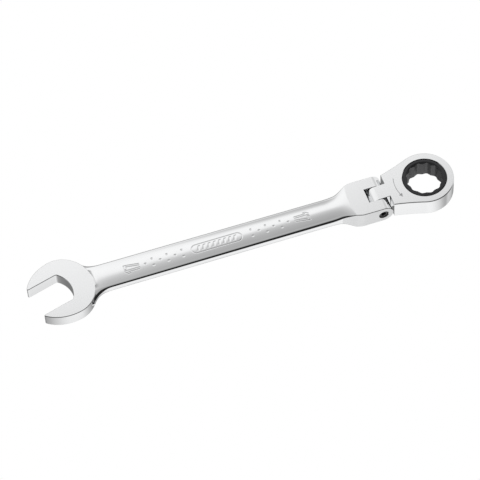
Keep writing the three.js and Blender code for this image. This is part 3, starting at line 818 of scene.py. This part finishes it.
def head():
    plate = solid(prism(neck_outline(), HEAD_BOTTOM, HEAD_TOP, HEAD_EDGE, 5))
    root_z = HEAD_TOP - TONGUE_SINK
    profile = joined(
        [(TONGUE_ROOT_X, -root_z), (TONGUE_ROOT_X, root_z)],
        arc(0, 0, HEAD_TOP, HEAD_TOP, math.pi / 2, 1.5 * math.pi, math.radians(4)),
    )
    tongue = solid(along_y(prism(profile, -TONGUE_HALF_WIDTH, TONGUE_HALF_WIDTH, TONGUE_EDGE, 3)))
    mouth = LIP_RADIUS + LIP_CHAMFER
    bore = solid(turned([
        (GEAR_BORE_RADIUS, -CUT), (GEAR_BORE_RADIUS, GROOVE_Z[0]), (GROOVE_RADIUS, GROOVE_Z[0]),
        (GROOVE_RADIUS, GROOVE_Z[1]), (GEAR_BORE_RADIUS, GROOVE_Z[1]), (GEAR_BORE_RADIUS, LIP_Z),
        (LIP_RADIUS, LIP_Z), (LIP_RADIUS, HEAD_TOP - LIP_CHAMFER), (mouth, HEAD_TOP), (mouth, CUT),
    ], 180, GEAR_X))
    screw_hole = SCREW_RADIUS + SCREW_PLAY
    pivot = solid(along_y(turned([(screw_hole, -CUT), (screw_hole, CUT)], 64)))
    pocket = solid(block((POCKET_BACK, -POCKET_HALF_WIDTH, -POCKET_HALF_HEIGHT),
                         (POCKET_FRONT, POCKET_HALF_WIDTH, POCKET_HALF_HEIGHT)))
    spring_bore = solid(along_x(turned([
        (SPRING_BORE_RADIUS, SPRING_BORE_END), (SPRING_BORE_RADIUS, POCKET_BACK + 1),
    ], 48)))
    cuts = [bore, pivot, pocket, spring_bore] + arrow_cut()
    return combine(plate, ("UNION", tongue), *[("DIFFERENCE", cut) for cut in cuts])


def head_paint(centre, normal):
    """Satin on the two flat faces, etched in the arrow and mirror elsewhere."""
    flat = np.abs(normal[:, 2]) > 0.9999
    arrow = flat & (np.abs(centre[:, 2] - HEAD_TOP + ARROW_DEPTH) < 0.01)
    return flat.astype(int) + arrow


piece("head_forging", "head", head(), HEAD_PLACE, [mirror_chrome, satin_chrome, etched_chrome],
      ["ratchet_head"], 24.0, head_paint)

# ---- drive gear and its spring ring ----


def gear_skin():
    """The gear as one closed skin: its toothed outside, its end faces and its 12-point socket."""
    angle = np.arange(GEAR_SIDES) * 2 * math.pi / GEAR_SIDES
    sector = math.pi / 3

    def hexagon(turn):
        return HEX / 2 / np.cos((angle + turn + sector / 2) % sector - sector / 2)

    socket = np.minimum(np.maximum(hexagon(0), hexagon(sector / 2)), SOCKET_POINT_RADIUS)
    per_tooth = GEAR_SIDES // TEETH
    phase = (np.arange(GEAR_SIDES) % per_tooth) / per_tooth
    teeth = TOOTH_ROOT_RADIUS + (TOOTH_TIP_RADIUS - TOOTH_ROOT_RADIUS) * np.abs(1 - 2 * phase)

    def ring(radius, z):
        return np.column_stack([
            GEAR_X + radius * np.cos(angle), radius * np.sin(angle), np.broadcast_to(z, angle.shape),
        ])

    def half(up, end):
        """The rings from the teeth over the end face on up's side and down into the socket."""
        slope = SOCKET_MOUTH_SLOPE[up]
        edge = GEAR_EDGE
        mouth_z = end - up * slope * (SOCKET_MOUTH_RADIUS - socket)
        return [
            ring(teeth, up * TOOTH_BAND_Z), ring(COLLAR_RADIUS, up * TOOTH_BAND_Z),
            ring(COLLAR_RADIUS, end - up * edge), ring(COLLAR_RADIUS - edge * 0.3, end - up * edge * 0.3),
            ring(COLLAR_RADIUS - edge, end), ring(SOCKET_MOUTH_RADIUS, end),
            ring(socket + edge, mouth_z + up * slope * edge), ring(socket, mouth_z - up * edge),
        ]

    return skin(half(1, GEAR_TOP) + half(-1, GEAR_BOTTOM)[::-1], closed=True)


def gear_paint(centre, normal):
    """Broached walls in the socket, black everywhere else."""
    reach = np.hypot(centre[:, 0] - GEAR_X, centre[:, 1])
    return (reach < SOCKET_POINT_RADIUS + 0.02) & (np.abs(normal[:, 2]) < 0.1)


piece("drive_gear_body", "gear", solid(gear_skin()), HEAD_PLACE, [black_steel, broached_steel],
      ["drive_gear"], 24.0, gear_paint)


def ring_skin():
    """The spring ring that holds the gear in: a flat wire bent round, open at the front."""
    inner, outer = SNAP_RING_RADII
    low = SNAP_RING_Z - SNAP_RING_HALF_HEIGHT
    high = SNAP_RING_Z + SNAP_RING_HALF_HEIGHT
    edge = SNAP_RING_EDGE
    section = [
        (inner, low + edge), (inner + edge, low), (outer - edge, low), (outer, low + edge),
        (outer, high - edge), (outer - edge, high), (inner + edge, high), (inner, high - edge),
    ]
    rings = []
    for angle in np.linspace(SNAP_RING_HALF_GAP, 2 * math.pi - SNAP_RING_HALF_GAP, 121):
        c, s = math.cos(angle), math.sin(angle)
        rings.append(np.array([(GEAR_X + r * c, r * s, z) for r, z in section]))
    return skin(rings)


piece("snap_ring", "head", solid(ring_skin()), HEAD_PLACE, [spring_steel], ["gear_retaining_ring"],
      30.0)

# ---- ball, springs and pawl ----


def coil_skin(start, end, radius, wire, turns):
    """A coil spring along X, of round wire."""
    steps = 32 * turns
    wire_angle = np.arange(10) * 2 * math.pi / 10
    rings = []
    for i in range(steps + 1):
        turn = 2 * math.pi * turns * i / steps
        x = start + wire + (end - start - 2 * wire) * i / steps
        reach = radius + wire * np.cos(wire_angle)
        rings.append(np.column_stack([
            x + wire * np.sin(wire_angle), reach * math.cos(turn), reach * math.sin(turn),
        ]))
    return skin(rings)


def ball_skin():
    profile = []
    for tilt in np.linspace(0, math.pi, 33)[1:-1]:
        profile.append((BALL_RADIUS * math.sin(tilt), BALL_X + BALL_RADIUS * math.cos(tilt)))
    return along_x(turned(profile, 48))


piece("friction_ball_body", "handle", solid(ball_skin()), HANDLE_PLACE, [hard_steel],
      ["friction_ball"], 40.0)
piece("ball_spring_coil", "handle", solid(coil_skin(*BALL_SPRING)), HANDLE_PLACE, [spring_steel],
      ["ball_spring"], 40.0)
pawl_coil = piece("pawl_spring_coil", "head", solid(coil_skin(*PAWL_SPRING)), HEAD_PLACE,
                  [spring_steel], ["pawl_spring"], 40.0)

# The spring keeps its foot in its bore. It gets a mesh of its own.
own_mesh(pawl_coil)
for material_slot in frame["nodes"]["pawl"].material_slots:
    material_slot.material = hard_steel

# ---- floor, light and camera ----


def floor():
    half = 6.0
    mesh = bpy.data.meshes.new("floor")
    corners = [(-half, -half, 0), (half, -half, 0), (half, half, 0), (-half, half, 0)]
    mesh.from_pydata(corners, [], [(0, 1, 2, 3)])
    thing = bpy.data.objects.new("floor", mesh)
    bpy.context.scene.collection.objects.link(thing)
    material = bpy.data.materials.new("pale_floor")
    material.use_nodes = True
    n = Nodes(material.node_tree)
    pale = n.add("ShaderNodeBsdfPrincipled", {
        "Base Color": (0.3, 0.3, 0.3, 1), "Roughness": 1.0, "Emission Color": (1, 1, 1, 1),
        "Emission Strength": 0.66, "Specular IOR Level": 0.0,
    })
    bright = n.add("ShaderNodeEmission", {"Color": (1, 1, 1, 1), "Strength": 1.0})
    path = n.add("ShaderNodeLightPath").outputs["Is Camera Ray"]
    mix = n.add("ShaderNodeMixShader", {0: path, 1: pale.outputs[0], 2: bright.outputs[0]})
    n.add("ShaderNodeOutputMaterial", {"Surface": mix.outputs[0]})
    mesh.materials.append(material)
    thing.visible_glossy = False


def stage_sphere(centre, radius, columns=64, rows=32):
    """A closed ball round the wrench, which only reflections see."""
    rings = []
    for i in range(1, rows):
        tilt = math.pi * i / rows
        turn = np.arange(columns) * 2 * math.pi / columns
        rings.append(np.column_stack([
            math.sin(tilt) * np.cos(turn), math.sin(tilt) * np.sin(turn),
            np.full(columns, math.cos(tilt)),
        ]) * radius / MM)
    ball = solid(skin(rings))
    ball.data.transform(Matrix.Translation(centre))
    ball.name = "studio"
    ball.visible_camera = False
    ball.visible_shadow = False
    return ball


def surroundings():
    """A studio drawn on a ball round the wrench: a long bright panel beyond it, a dimmer ceiling, a
    pale wall to the right, a dark room on the near side, and a table below that is brightest on the
    near side."""
    centre = hinge + AIM_FROM_HINGE
    ball = stage_sphere(centre, STUDIO_RADIUS)
    material = bpy.data.materials.new("studio")
    material.use_nodes = True
    n = Nodes(material.node_tree)
    place = n.add("ShaderNodeVectorMath", {
        0: n.add("ShaderNodeNewGeometry").outputs["Position"], 1: tuple(centre),
    }, operation="SUBTRACT").outputs["Vector"]
    direction = n.add("ShaderNodeVectorMath", {0: place}, operation="NORMALIZE").outputs["Vector"]
    flattened = n.add("ShaderNodeVectorMath", {0: direction, 1: (0.35, 1, 1)}, operation="MULTIPLY")
    slim = n.add("ShaderNodeVectorMath", {0: flattened.outputs["Vector"]}, operation="NORMALIZE")
    axis = n.add("ShaderNodeSeparateXYZ", {"Vector": direction})

    def toward(vector, x, y, z):
        node = n.add("ShaderNodeVectorMath", {0: vector, 1: (x, y, z)}, operation="DOT_PRODUCT")
        return node.outputs["Value"]

    def soft_step(value, low, high):
        return n.add("ShaderNodeMapRange", {
            "Value": value, "From Min": low, "From Max": high, "To Min": 0.0, "To Max": 1.0,
        }, interpolation_type="SMOOTHSTEP").outputs["Result"]

    def either(choice, first, second):
        return n.math("ADD", n.math("MULTIPLY", n.math("SUBTRACT", 1.0, choice), first),
                      n.math("MULTIPLY", choice, second))

    panel = n.ramp(toward(slim.outputs["Vector"], *Vector((0.0, 0.66, 0.75)).normalized()), [
        (0.0, 0.4), (0.72, 0.43), (0.866, 0.5), (0.93, 0.6), (0.958, 0.71), (0.985, 0.99), (1.0, 1.04),
    ])
    right_wall = n.math("MULTIPLY", soft_step(axis.outputs["X"], 0.55, 0.75),
                        soft_step(axis.outputs["Z"], 0.6, 0.3))
    room = either(right_wall, panel, 0.9)
    dark = n.math("MULTIPLY", soft_step(axis.outputs["Y"], -0.03, -0.2),
                  soft_step(axis.outputs["Z"], 0.86, 0.76))
    room = either(dark, room, 0.02)
    table = n.ramp(n.span(toward(direction, 0.2, -0.98, 0.0), -0.3, 0.7, 0.0, 1.0), [
        (0.0, 0.2), (0.2, 0.25), (0.4, 0.45), (0.5, 0.52), (0.6, 0.64), (0.7, 0.75), (0.8, 0.92),
        (0.9, 1.0),
    ])
    light = either(soft_step(axis.outputs["Z"], -0.5, -0.8), room, table)
    glow = n.add("ShaderNodeEmission", {"Color": light, "Strength": 1.0})
    n.add("ShaderNodeOutputMaterial", {"Surface": glow.outputs[0]})
    ball.data.materials.append(material)

    world = bpy.data.worlds.new("backdrop")
    bpy.context.scene.world = world
    world.use_nodes = True
    n = Nodes(world.node_tree)
    seen = n.add("ShaderNodeBackground", {"Color": (1, 1, 1, 1), "Strength": 1.0})
    n.add("ShaderNodeOutputWorld", {"Surface": seen.outputs[0]})


def softbox(name, place, target, size, watts):
    data = bpy.data.lights.new(name, "AREA")
    data.shape = "RECTANGLE"
    data.size, data.size_y = size
    data.energy = watts
    thing = bpy.data.objects.new(name, data)
    thing.location = place
    thing.rotation_euler = (Vector(target) - Vector(place)).to_track_quat("-Z", "Y").to_euler()
    thing.visible_glossy = False
    bpy.context.scene.collection.objects.link(thing)


def camera():
    """At the photograph's viewing angle."""
    azimuth, elevation = math.radians(-19.203), math.radians(56.541)
    distance = 0.9717
    off_right, off_up = 0.635, 0.976            # where the wrench sits in the frame, in millimetres
    aim = hinge + AIM_FROM_HINGE
    back = Vector((math.sin(azimuth) * math.cos(elevation), -math.cos(azimuth) * math.cos(elevation),
                   math.sin(elevation)))
    right = Vector((math.cos(azimuth), math.sin(azimuth), 0))
    up = back.cross(right)
    data = bpy.data.cameras.new("camera")
    data.sensor_width = 36
    data.lens = 141.165
    data.clip_start, data.clip_end = 0.05, 30
    thing = bpy.data.objects.new("camera", data)
    eye = aim + back * distance - right * off_right * MM - up * off_up * MM
    thing.matrix_world = Matrix.Translation(eye) @ Matrix((right, up, back)).transposed().to_4x4()
    bpy.context.scene.collection.objects.link(thing)
    bpy.context.scene.camera = thing


floor()
surroundings()
softbox("key_light", (0.1, 0.55, 0.75), (0, 0, 0), (0.7, 0.5), 4.0)
camera()
bpy.context.scene.view_settings.view_transform = "Standard"
